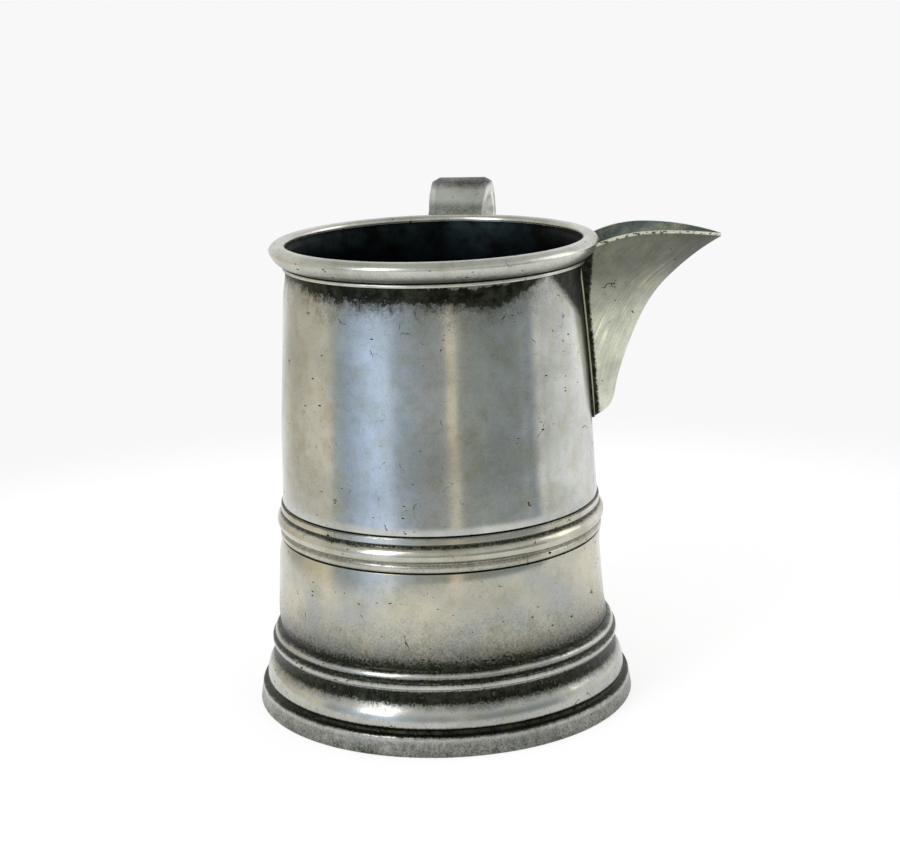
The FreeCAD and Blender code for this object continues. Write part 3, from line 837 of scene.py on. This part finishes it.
def scrape_marks(tree, place):
    """Pale streaks left by the scraper, along curves beside the keel, a darker top and tip, and
    a bright worn line along the top edge."""
    axes = add(tree, "SeparateXYZ", {"Vector": place}).outputs
    low, high = KEEL[0][0], KEEL[-1][0]
    up = add(tree, "MapRange", {"Value": axes["Z"], "From Min": low * MM, "From Max": high * MM})
    keel_line = add(tree, "FloatCurve", {"Value": up})
    points = keel_line.mapping.curves[0].points
    corners = [((z - low) / (high - low), (reach - KEEL_REACH) / KEEL_REACH) for z, reach in KEEL]
    points[0].location = corners[0]
    points[1].location = corners[-1]
    for corner in corners[1:-1]:
        points.new(*corner)
    keel_line.mapping.update()
    keel_x = add(tree, "Math", {0: keel_line, 1: KEEL_REACH * MM, 2: KEEL_REACH * MM}, operation="MULTIPLY_ADD")
    inward = add(tree, "Math", {0: keel_x, 1: axes["X"]}, operation="SUBTRACT")
    lane = add(tree, "Math", {0: inward, 1: 1 / (STREAK_WIDTH * MM)}, operation="MULTIPLY")
    way = add(tree, "Math", {0: axes["Z"], 1: 1 / (STREAK_LENGTH * MM)}, operation="MULTIPLY")
    drawn_out = add(tree, "CombineXYZ", {"X": lane, "Y": way})
    streak = add(tree, "TexNoise", {"Vector": drawn_out, "Scale": 1.0, "Detail": 1})
    pale = add(tree, "MapRange", {"Value": streak, "From Min": 0.5, "From Max": 0.66})

    # the streaks are in patches, below the top edge, above the spout's foot and in one broad lane
    patch = add(tree, "TexNoise", {"Vector": place, "Scale": 1 / (16 * MM), "Detail": 2})
    patch = add(tree, "MapRange", {"Value": patch, "From Min": 0.42, "From Max": 0.6})
    below = add(
        tree, "MapRange", {"Value": axes["Z"], "From Min": 154 * MM, "From Max": 145 * MM, "To Max": 1.1}
    )
    above = add(tree, "MapRange", {"Value": axes["Z"], "From Min": 116 * MM, "From Max": 124 * MM})
    beside = add(tree, "Math", {0: inward, 1: STREAKS_FROM_KEEL * MM}, operation="SUBTRACT")
    beside = add(tree, "Math", {0: beside}, operation="ABSOLUTE")
    beside = add(tree, "MapRange", {"Value": beside, "From Min": 6.5 * MM, "From Max": 3.5 * MM})
    where = patch
    for limit in (below, above, beside):
        where = add(tree, "Math", {0: where, 1: limit}, operation="MULTIPLY")
    pale = add(tree, "Math", {0: pale, 1: where}, operation="MULTIPLY")
    pale = add(tree, "Math", {0: pale, 1: 0.75, 2: 1.0}, operation="MULTIPLY_ADD")

    # pale below, darker above and at the tip, with fine scraping all over
    darker = add(
        tree, "MapRange",
        {"Value": axes["Z"], "From Min": 118 * MM, "From Max": 150 * MM, "To Min": 1.9, "To Max": 0.53},
        interpolation_type="SMOOTHSTEP",
    )
    fine = add(tree, "TexNoise", {"Vector": drawn_out, "Scale": 1.7, "Detail": 3, "Roughness": 0.7})
    fine = add(
        tree, "MapRange", {"Value": fine, "From Min": 0.3, "From Max": 0.7, "To Min": 0.78, "To Max": 1.22}
    )
    darker = add(tree, "Math", {0: darker, 1: fine}, operation="MULTIPLY")
    tip = add(
        tree, "MapRange",
        {"Value": axes["X"], "From Min": 74 * MM, "From Max": 88 * MM, "To Min": 1.0, "To Max": 0.55},
    )
    darker = add(tree, "Math", {0: darker, 1: tip}, operation="MULTIPLY")
    shade = add(tree, "Math", {0: pale, 1: darker}, operation="MULTIPLY")

    # the worn top edge: its height falls away on both sides of its crest
    from_crest = add(tree, "Math", {0: axes["X"], 1: EDGE_CREST[0] * MM}, operation="SUBTRACT")
    fall = add(tree, "Math", {0: from_crest, 1: from_crest}, operation="MULTIPLY")
    outer = add(tree, "Math", {0: from_crest, 1: 0.0}, operation="GREATER_THAN")
    rate = add(tree, "MapRange", {"Value": outer, "To Min": EDGE_FALL[0] / MM, "To Max": EDGE_FALL[1] / MM})
    fall = add(tree, "Math", {0: fall, 1: rate, 2: axes["Z"]}, operation="MULTIPLY_ADD")
    depth = add(tree, "Math", {0: EDGE_CREST[1] * MM, 1: fall}, operation="SUBTRACT")
    worn = add(
        tree, "MapRange",
        {"Value": depth, "From Min": 0.75 * MM, "From Max": 1.05 * MM, "To Min": 1.0, "To Max": 0.0},
    )
    nick = add(tree, "TexNoise", {"Vector": place, "Scale": 1 / (1.6 * MM), "Detail": 1})
    nick = add(
        tree, "MapRange", {"Value": nick, "From Min": 0.56, "From Max": 0.64, "To Min": 2.0, "To Max": 0.3}
    )
    return add(tree, "Mix", {0: worn, 2: shade, 3: nick})


cheek_metal = old_pewter(
    "scraped_spout_sheet", ((0, 0.0), (TALLEST, 0.0)), light="#a5a79a", clouded="#888a7d", polish=0.27,
    pits=1.1, ripple=1.6, more_tarnish=tarnish_by_drum, streaks=scrape_marks,
)
# the sheet's cut top edge is rubbed bright
edge_metal = old_pewter(
    "worn_spout_edge", ((0, 0.0), (TALLEST, 0.0)), light="#dad9d2", clouded="#b3b3aa", polish=0.3,
    pits=2.0, ripple=1.5,
)
# the channel's inner faces are darker: grey, matt and a little green
channel_metal = old_pewter(
    "dull_spout_channel", ((0, 0.3), (TALLEST, 0.3)), light="#6f7a74", clouded="#525c57", polish=0.34,
    pits=0.8, soft=0.4,
)
for node, name in (("spout_right_cheek", "spout_cheek_near"), ("spout_left_cheek", "spout_cheek_far")):
    cheek = skin_of(node, name)
    for metal in (cheek_metal, edge_metal, channel_metal):
        cheek.data.materials.append(metal)
    for face in cheek.data.polygons:
        if face.normal.z > FACES_UP:
            face.material_index = 1
        elif face.normal.y * face.center.y < 0 and abs(face.normal.y) > 0.25:
            face.material_index = 2
    smoothed(cheek.data)
    finish(cheek, node)
keel = skin_of("spout_keel_solder", "spout_keel")
keel.data.materials.append(cheek_metal)
keel.data.materials.append(edge_metal)
for face in keel.data.polygons:
    if face.normal.z > FACES_UP:
        face.material_index = 1
smoothed(keel.data)
finish(keel, "spout_keel_solder")


def pale_ridge(tree, place, mottle):
    """Tarnish all over the solder but for its ridge, a line about 0.4 mm wide."""
    away = add(tree, "Math", {0: gap_from_wall(tree, place), 1: -RIDGE_OUT * MM}, operation="ADD")
    away = add(tree, "Math", {0: away}, operation="ABSOLUTE")
    return add(tree, "MapRange", {"Value": away, "From Min": 0.12 * MM, "From Max": 0.3 * MM})


# wiped solder, tarnished black in the corner that it fills, with a pale yellowish ridge
seam_metal = old_pewter(
    "tarnished_solder", ((0, 0.0), (TALLEST, 0.0)), light="#aaa993", clouded="#85856f", polish=0.3, pits=0.6,
    ripple=2.0, soft=0.35, more_tarnish=pale_ridge,
)
for node, name in (("spout_right_solder", "spout_seam_near"), ("spout_left_solder", "spout_seam_far")):
    seam = skin_of(node, name)
    lean(seam)
    seam.data.materials.append(seam_metal)
    smoothed(seam.data)
    finish(seam, node)

# ---- Handle ----
# A cast strap with chamfered outer edges. It springs from the wall under the rim, turns over
# and comes down behind the drum, where a short strut ties it to the wall.
HANDLE_ROUND = math.radians(81.5)   # from +X towards +Y
INNER_FACE_BOTTOM = 120

# painted reflections by height: darker from 141 mm to 159 mm, a pale band at about 162 mm as a painted
# highlight, and a dark painted reflection over the crest
handle_metal_painted_reflections = old_pewter(
    "handle_painted_reflections",
    ((0, 0.1), (141.0, 0.1), (147.0, 0.6), (153.0, 0.62), (159.0, 0.55), (160.5, 0.2), (161.5, 0.0),
     (163.6, 0.0), (164.8, 0.5), (166.0, 0.9)),
    light="#d6d8d2", clouded="#b7bbb3", polish=0.25, pits=0.6, soft=0.45, ragged=1.0,
)
# painted reflection: the inner face under the crest is painted near white and matt, as the bright room mirrored
# in it
handle_inside_painted_reflection = old_pewter(
    "handle_inside_painted_white", ((0, 0.0), (TALLEST, 0.0)), light="#f4f4f0", clouded="#e2e2dd", polish=0.5, pits=0.3,
)
handle = skin_of("handle", "handle_strap")
handle.data.materials.append(handle_metal_painted_reflections)
handle.data.materials.append(handle_inside_painted_reflection)
outward = Vector((math.cos(HANDLE_ROUND), math.sin(HANDLE_ROUND), 0))
for face in handle.data.polygons:
    looks_inward = face.normal.z < 0.3 and face.normal.dot(outward) < -0.2
    if looks_inward and face.center.z > INNER_FACE_BOTTOM * MM:
        face.material_index = 1
smoothed(handle.data, sharp_degrees=22)
finish(handle, "handle")
refinish("handle_strut", handle_metal_painted_reflections)
refinish("handle_root_solder", seam_metal)
refinish("handle_strut_solder", seam_metal)
